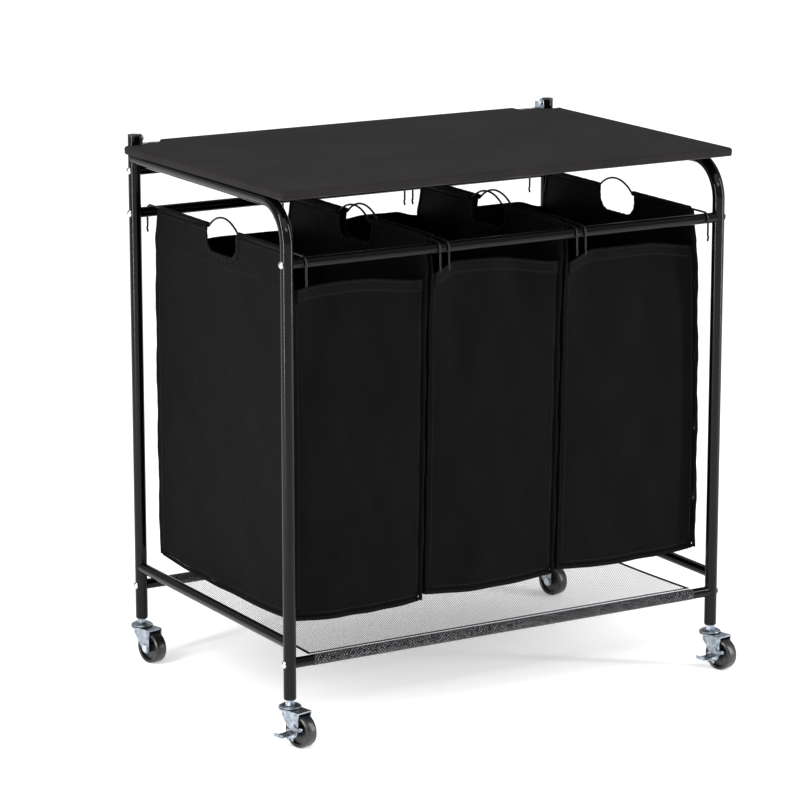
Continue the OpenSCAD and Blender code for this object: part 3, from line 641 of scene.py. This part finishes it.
def foldedHems(bag):
    # hems of the front and back panels: rows at a depth under the rim and a height over the cloth,
    # joined into a closed strip whose inner side is sunk in the cloth
    deep, patches = bag.look["hemDeep"], []
    for side in (0, 2):
        t = np.linspace(-0.985, 0.985, 40)
        top = bag.topZ(np.full_like(t, side), t, np.full_like(t, bag.halfY))
        points = np.stack([bag.line(side, t, top - drop, lift)[0] for drop, lift in (
            (0.0, -0.0006), (-0.0006, 0.0003), (0.0, 0.0009), (0.002, 0.0012), (deep - 0.002, 0.0009),
            (deep, 0.0004), (deep + 0.0002, -0.0006))])
        ends = [np.repeat(points[:, e].mean(0)[None, None], len(points), 0) for e in (0, -1)]
        points = np.concatenate([ends[0], points, ends[1]], 1)
        patches.append(gridPatch(points, flatGrid(points, False, True), False, True))
    return patches


def rodCasings(bag):
    # casings for the rods, open at both ends: rings about the rod's line that two sines along it make
    # wider and flatter by turns, and inside them rings of the rod's own radius
    k, patches = bag.look, []
    a = np.linspace(0, 2 * math.pi, 14, endpoint=False)
    for side, sx in ((1, 1), (3, -1)):
        rodX = bag.midX + sx * (bag.halfX - k["rodIn"])
        for sy in (-1, 1):
            y = sy * np.linspace(k["cutHalf"] + 0.0005, bag.halfY - k["drawIn"] + 0.002, 34)
            pinch = 1 + 0.035 * np.sin(y * 260 + side)[:, None] + 0.02 * np.sin(y * 610)[:, None]
            even = np.ones_like(pinch)
            outer, inner = [np.stack([rodX + wide * np.cos(a), np.repeat(y[:, None], len(a), 1),
                                      bag.rodZ + tall * np.sin(a)], -1)
                            for wide, tall in ((k["casingR"] * pinch, k["casingR"] * (2 - pinch)),
                                               (k["wireR"] * even, k["wireR"] * even))]
            tube = np.concatenate([outer, inner[::-1]])
            patches.append(gridPatch(tube, flatGrid(tube, True, True), True, True))
    return patches


def cutBindings(bag):
    # binding round each hand cut-out: down, round a quarter circle, across, round and up again; the
    # oval it carries grows and shrinks by two sines along it, as puckered tape does
    k, patches = bag.look, []
    flatHalf, floorZ = k["cutHalf"] - k["cutR"], bag.rodZ - k["cutDeep"]
    turn = np.linspace(0, math.pi / 2, 10)
    y = np.concatenate([np.full(4, k["cutHalf"]), flatHalf + k["cutR"] * np.cos(turn),
                        np.linspace(flatHalf, -flatHalf, 14)[1:-1],
                        -flatHalf - k["cutR"] * np.sin(turn), np.full(4, -k["cutHalf"])])
    rise = np.linspace(bag.rodZ - 0.001, floorZ + k["cutR"] + 0.002, 4)
    z = np.concatenate([rise, floorZ + k["cutR"] * (1 - np.sin(turn)), np.full(12, floorZ),
                        floorZ + k["cutR"] * (1 - np.cos(turn)), rise[::-1]])
    fine = np.linspace(0, len(y) - 1, 90)
    y, z = np.interp(fine, np.arange(len(y)), y), np.interp(fine, np.arange(len(z)), z)
    for side, sx in ((1, 1), (3, -1)):
        path = bag.wall(np.full_like(y, side), y / (bag.halfY - k["cornerR"]),
                        np.full_like(y, sx * bag.halfX), y, sx, 0.0, z, 0.0006)
        inward = unit(np.cross(np.gradient(path, axis=0), [sx, 0, 0]))
        centre = np.array([bag.midX + sx * bag.halfX, 0, bag.rodZ + 0.01])
        if ((centre - path) * inward).sum() < 0:
            inward = -inward
        pucker = 1 + 0.20 * np.sin(fine * 1.9) + 0.13 * np.sin(fine * 4.3 + side)
        oval = ovalProfile(k["bindThick"], k["bindWide"], 10, 0.6, (0, -k["bindIn"]))
        patches.append(sweep(path, oval, inward, scale=pucker))
    return patches


def seamZ(bag, t, under):
    # height of the facing's seam across a side panel: level, with a soft bell-shaped dip at the middle
    k = bag.look
    y = np.abs(t) * (bag.halfY - k["cornerR"])
    return bag.rodZ - k["seamDrop"] - under - k["seamDip"] * np.exp(-(y / k["dipWide"]) ** 2)


def seamRidges(bag):
    # the facing's fold across each side panel: a low oval carried along under the seam
    k, patches = bag.look, []
    for side in (1, 3):
        t = np.linspace(-0.985, 0.985, 70)
        path, out = bag.line(side, t, seamZ(bag, t, k["ridgeUnder"]), 0.0)
        patches.append(sweep(path, ovalProfile(k["ridgeWide"], k["ridgeThick"], 8, 0.8), out))
    return patches


def bagStitching(bag, look):
    # rows of stitches on the panels: two along each hem, one beside each corner, one over the base,
    # one along the facing's seam and one under each rod casing
    k = bag.look
    rows = []
    for side in (0, 2):
        t = np.linspace(-0.96, 0.96, 60)
        top = bag.topZ(np.full_like(t, side), t, np.full_like(t, bag.halfY))
        for drop in (look["hemTop"], k["hemDeep"] - look["hemFoot"]):
            rows.append(bag.line(side, t, top - drop, look["hemLift"]))
    for side in (0, 1, 2, 3):
        corner = 0.975 if side % 2 == 0 else 0.99
        for end in (-1, 1):
            z = np.linspace(bag.baseZ + look["footUp"] - bag.hang["lower"], bag.panelZ - look["topDown"], 60)
            rows.append(bag.line(side, np.full_like(z, end * corner), z, look["lift"]))
        t = np.linspace(-0.95, 0.95, 60)
        low = bag.lowZ(np.full_like(t, side), t)
        rows.append(bag.line(side, t, low + look["baseUp"], look["lift"]))
    for side in (1, 3):
        t = np.linspace(-0.975, 0.975, 90)
        rows.append(bag.line(side, t, seamZ(bag, t, 0.0), look["lift"]))
        for sy in (-1, 1):
            t = sy * np.linspace((k["cutHalf"] + 0.002) / bag.halfY, 0.93, 50)
            rows.append(bag.line(side, t, bag.rodZ - look["casingDown"], look["lift"]))
    return [stitches(path, up, look) for path, up in rows]


def makeBag(name):
    # the cloth is the outer skin and, one thickness inside it, the inner skin, joined at the rim; the
    # trim and the stitches lie on it
    bag = Bag(name, bagLook, bagHang[name])
    outer, inner = bag.skin(0.0), bag.skin(bagLook["cloth"])
    grid = np.concatenate([outer, inner[::-1]])
    title = name.capitalize()
    shell = makePiece(title + "BagCloth", [gridPatch(grid, flatGrid(grid, True), True)], bagCloth,
                      name + "_bag")
    edges = cornerWelts(bag) + baseWelt(bag) + foldedHems(bag) + rodCasings(bag) + cutBindings(bag)
    trim = makePiece(title + "BagTrim", edges + seamRidges(bag), tape, name + "_bag")
    sewn = makePiece(title + "BagStitching", bagStitching(bag, stitchLook), thread, name + "_bag")
    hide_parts(name + "_bag")


for name in ("left", "centre", "right"):
    makeBag(name)
print("bags made")


boardLook = {
    # edge and corner radii, crown, width of the wrap, the slack rear corner, and the step along the rim
    "edgeR": 0.0048, "notchR": 0.004, "rearR": 0.002, "frontR": 0.006, "crown": 0.0012, "wrap": 0.034,
    "ear": 0.009, "step": 0.012,
    # room for the rear posts and the hinge straps
    "postX": 0.0045, "postY": 0.0065, "strapX": 0.0385, "strapY": 0.0135,
    # the rectangle that the top's rows shrink to, and the wrap's distance from the rear
    "innerHalf": 0.335, "innerFront": 0.05, "innerRear": 0.075, "wrapRear": 0.024,
    # sizes of the two sines in the slack side and in the gathered band
    "slack": (0.0005, 0.0004), "gather": (0.0030, 0.0015),
}


def boardOutline(look):
    # the rim seen from above, as points with outward directions, walked anticlockwise: straight runs
    # and small arcs, with a notch at each rear post
    low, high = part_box("board_cover")
    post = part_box("right_rear_post")[0]
    notchX, notchY = post.x - look["postX"], post.y - look["postY"]
    strapX, strapY = notchX - look["strapX"], notchY + look["strapY"]  # cut back round the hinge straps
    half = [(high.x, low.y), (high.x, notchY), (notchX, notchY), (notchX, strapY), (strapX, strapY),
            (strapX, high.y)]
    corners = np.array(half + [(-x, y) for x, y in half[::-1]])
    corners[-2] = (low.x - look["ear"], notchY + 0.002)  # the cover's slack rear corner sticks out
    radii = [look["frontR"], look["rearR"]] + [look["notchR"]] * 8 + [look["rearR"], look["frontR"]]
    points = []
    for c, b, a, r in zip(corners, np.roll(corners, 1, 0), np.roll(corners, -1, 0), radii):
        start, end = c + unit(b - c) * r, c + unit(a - c) * r
        for w in np.linspace(0, 1, 6):
            points.append((1 - w) ** 2 * start + 2 * w * (1 - w) * c + w ** 2 * end)
    points = np.array(points)
    closed = np.vstack([points, points[:1]])
    walked = walkAlong(closed)
    wanted = []
    for a, b in zip(walked[:-1], walked[1:]):
        wanted += list(np.linspace(a, b, max(2, int((b - a) / look["step"]) + 1))[:-1])
    rim = np.stack([np.interp(wanted, walked, closed[:, k]) for k in (0, 1)], 1)
    tangent = np.roll(rim, -1, 0) - np.roll(rim, 1, 0)
    tangent = unit(tangent)
    return rim, np.stack([tangent[:, 1], -tangent[:, 0]], 1)


def makeBoard(look):
    # the padded cover as rows of the rim: crowned top shrinking to the middle, a rounded upper edge,
    # a slightly slack side, and a gathered band under the board
    low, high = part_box("board_cover")
    rim, out = boardOutline(look)
    r = look["edgeR"]
    walked = np.arange(len(rim)) * look["step"]
    slack = look["slack"][0] * np.sin(walked * 41) + look["slack"][1] * np.sin(walked * 97 + 1)
    inner = np.stack([np.clip(rim[:, 0], -look["innerHalf"], look["innerHalf"]),
                      np.clip(rim[:, 1], low.y + look["innerFront"], high.y - look["innerRear"])], 1)
    rows = []

    def row(plan, z):
        rows.append(np.concatenate([plan, np.broadcast_to(z, len(plan))[:, None]], 1))
    for s in (0.0, 0.25, 0.5, 0.75):
        row(inner * s, high.z - 0.0001 - look["crown"] * 0.1 * s)
    for s in (0.0, 0.35, 0.7, 1.0):
        edge = rim - out * (r + 0.002)
        row(inner * (1 - s) + edge * s, high.z - 0.0002 - look["crown"] * s ** 2 * 0.5)
    for a in np.radians([12, 28, 45, 62, 78, 90]):
        row(rim - out * r * (1 - math.sin(a)), high.z - look["crown"] * 0.5 - r * (1 - math.cos(a)))
    for z, back in ((low.z + 0.0045, 0.0003), (low.z + 0.0025, 0.0002), (low.z + 0.0008, 0.0009),
                    (low.z + 0.0001, 0.0026)):
        row(rim - out * (back + slack[:, None] * 0.5), z)
    gather = look["gather"][0] * np.sin(walked * 130) + look["gather"][1] * np.sin(walked * 310 + 2)
    reach = look["wrap"] + gather
    under = np.stack([np.clip(rim[:, 0], low.x + reach, high.x - reach),
                      np.clip(rim[:, 1], low.y + reach, high.y - look["wrapRear"] - reach)], 1)
    start = rim - out * 0.003
    for w, z in ((0.0, -0.0004), (0.4, -0.0007), (0.8, -0.0006), (1.0, -0.0004), (1.0, 0.0004),
                 (0.5, 0.0008)):
        row(start * (1 - w) + under * w, low.z + z)
    row(inner * 0.9, low.z + 0.0009)
    row(np.zeros_like(inner), low.z + 0.0009)
    grid = np.stack(rows)
    cover = makePiece("BoardCover", [gridPatch(grid, flatPlan(grid), True)], canvas, "board")
    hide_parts("board_cover", "board_pad")


def flatPlan(grid):
    # flat places for the cover: straight down on top, run out by the height at the sides
    closed = np.concatenate([grid, grid[:, :1]], 1)
    return closed[..., :2] + np.stack([closed[..., 2], closed[..., 2]], -1)


makeBoard(boardLook)
print("board made")


netLook = {
    # space between threads, a thread's width and thickness, how far the free ends bow and the middle sags
    "gap": 0.0034, "wide": 0.00062, "thick": 0.00006, "bow": 0.006, "sag": 0.003,
    # radius of the sleeves, how far their bars lie inside the sleeves' box, half a sleeve thread's width
    # as a share of an open thread's, and half its thickness
    "wrapR": 0.0086, "barIn": 0.009, "sleeveShare": 0.6, "sleeveHalf": 0.0001,
    # how far each family of threads lies off the middle, in the net and in the sleeves
    "ply": 0.00004, "sleevePly": 0.00005,
    # overlocked edges, zigzag stitches over them, and the seams beside the bars
    "edgeWide": 0.0060, "edgeThick": 0.0016, "zigWide": 0.0024, "zigUp": 0.0007, "stitchWide": 0.0006,
    "stitchThick": 0.0004, "seamWide": 0.004, "seamThick": 0.0014, "seamIn": 0.001,
}


def netSurface(s, t, low, high):
    # share across and share back onto the net: its free ends bow inward and its middle sags
    x = (2 * s - 1) * high.x
    x = x - np.sign(2 * s - 1) * np.abs(2 * s - 1) ** 3 * netLook["bow"] * 4 * t * (1 - t)
    y = low.y + (high.y - low.y) * t
    z = high.z - 0.0006 - netLook["sag"] * 4 * t * (1 - t) * (1 - np.abs(2 * s - 1) ** 4 * 0.3)
    return np.stack([x, y, z], -1)


def ribbons(path, side, up):
    # flat threads, threads x steps x 3: a diamond of four corners round each point, out by side and by
    # up, joined to the next along its thread, with one face across each end
    count, steps = path.shape[:2]
    ring = np.stack([path + side, path + up, path - side, path - up], 2)
    index = np.arange(count * steps * 4).reshape(count, steps, 4)
    nxt = np.roll(index, -1, 2)
    quads = np.stack([index[:, :-1], index[:, 1:], nxt[:, 1:], nxt[:, :-1]], -1).reshape(-1, 4)
    quads = np.concatenate([quads, index[:, 0], index[:, -1, ::-1]])
    return ring.reshape(-1, 3), quads, np.zeros((len(quads), 4, 2))


def netThreads(look):
    # two families of straight diagonals, one leaning each way and lying on the other, cut off at the
    # net's ends and laid on its surface
    low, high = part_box("shelf_net")
    wide, deep = high.x - low.x, high.y - low.y
    patches = []
    for lean in (1, -1):
        starts = np.arange(-deep, wide, look["gap"] * math.sqrt(2)) + look["gap"] / 2
        a, b = np.clip(starts, 0, wide), np.clip(starts + deep, 0, wide)
        use = b - a > 0.002
        a, b, starts = a[use], b[use], starts[use]
        x = a[:, None] + (b - a)[:, None] * np.linspace(0, 1, 9)[None]
        t = (x - starts[:, None]) / deep
        s = x / wide if lean > 0 else 1 - x / wide
        path = netSurface(s, t, low, high)
        side = np.cross(unit(np.gradient(path, axis=1)), [0, 0, 1.0]) * look["wide"] / 2
        up = np.array([0, 0, look["thick"] / 2 + 0.00001])
        patches.append(ribbons(path + np.array([0, 0, look["ply"] * lean]), side, up))
    return patches


def sleeveThreads(look):
    # the net rolled round each shelf bar: two families of helices, turning opposite ways about it
    low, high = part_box("net_sleeves")
    radius, barZ, patches = look["wrapR"], (low.z + high.z) / 2, []
    count = int(2 * math.pi * radius / (look["gap"] * math.sqrt(2)))
    x = np.linspace(low.x, high.x, int((high.x - low.x) / (2 * math.pi * radius) * 14))
    for barY in (low.y + look["barIn"], high.y - look["barIn"]):
        for lean in (1, -1):
            a = np.arange(count)[:, None] * 2 * math.pi / count + lean * (x[None] - low.x) / radius
            r = radius + look["sleevePly"] * lean
            out = np.stack([np.zeros_like(a), np.cos(a), np.sin(a)], -1)
            path = np.stack([np.broadcast_to(x, a.shape), barY + r * np.cos(a), barZ + r * np.sin(a)], -1)
            side = np.cross(unit(np.gradient(path, axis=1)), out) * look["wide"] * look["sleeveShare"]
            patches.append(ribbons(path, side, out * look["sleeveHalf"]))
    return patches


def netEdges(look):
    # at each free end an oval carried along the edge with a zigzag thread over it, and a flatter oval
    # beside each bar
    low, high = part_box("shelf_net")
    patches = []
    for s in (0.0, 1.0):
        t = np.linspace(0, 1, 60)
        path = netSurface(np.full_like(t, s), t, low, high)
        patches.append(sweep(path, ovalProfile(look["edgeWide"], look["edgeThick"], 8, 0.8), (0, 0, 1)))
        fine = np.linspace(0, 1, 260)
        zig = netSurface(np.full_like(fine, s), fine, low, high)
        zig[:, 0] += look["zigWide"] * np.sign(np.sin(np.arange(len(fine)) * math.pi + 0.5))
        zig[:, 2] += look["zigUp"]
        patches.append(sweep(zig, ovalProfile(look["stitchWide"], look["stitchThick"], 5, 1.0), (0, 0, 1)))
    for end in (0.0, 1.0):
        s = np.linspace(0, 1, 120)
        path = netSurface(s, np.full_like(s, end), low, high)
        path[:, 1] += look["seamIn"] if end == 0 else -look["seamIn"]
        patches.append(sweep(path, ovalProfile(look["seamWide"], look["seamThick"], 8, 0.8), (0, 0, 1)))
    return patches


def makeNet(look):
    # the open net, its rolls round the two bars, and its sewn edges
    net = makePiece("ShelfNet", netThreads(look), yarn, "frame")
    sleeves = makePiece("NetSleeves", sleeveThreads(look), paintedGlintYarn, "frame")
    edges = makePiece("NetEdges", netEdges(look), yarn, "frame")
    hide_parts("shelf_net")
    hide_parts("net_sleeves")


makeNet(netLook)
print("net made")


floorLook = {"half": 30, "glow": 0.42, "dark": "#f1f1f2", "light": "#f6f6f6"}


def makeFloor(look):
    # one wide square of matt card that glows a little, so that it fades into the world behind it
    mesh = bpy.data.meshes.new("PaleFloor")
    half = look["half"]
    mesh.from_pydata([(-half, -half, 0), (half, -half, 0), (half, half, 0), (-half, half, 0)], [],
                     [(0, 1, 2, 3)])
    mat, shader, coords = newMaterial("MattPaleFloor", {
        "Roughness": 0.85, "Specular IOR Level": 0.1, "Emission Color": hexColour("#ffffff"),
        "Emission Strength": look["glow"]})
    tone = addNode(mat, "TexNoise", {"Scale": 3.0}, {"Vector": (coords, "Object")})
    tone = addNode(mat, "ValToRGB", None, {0: (tone, 0)}, [(0.3, look["dark"]), (0.7, look["light"])])
    wireUp(mat, shader, {"Base Color": (tone, 0)})
    mesh.materials.append(mat)
    floor = bpy.data.objects.new("PaleFloor", mesh)
    bpy.context.scene.collection.objects.link(floor)


makeFloor(floorLook)
print("floor made")
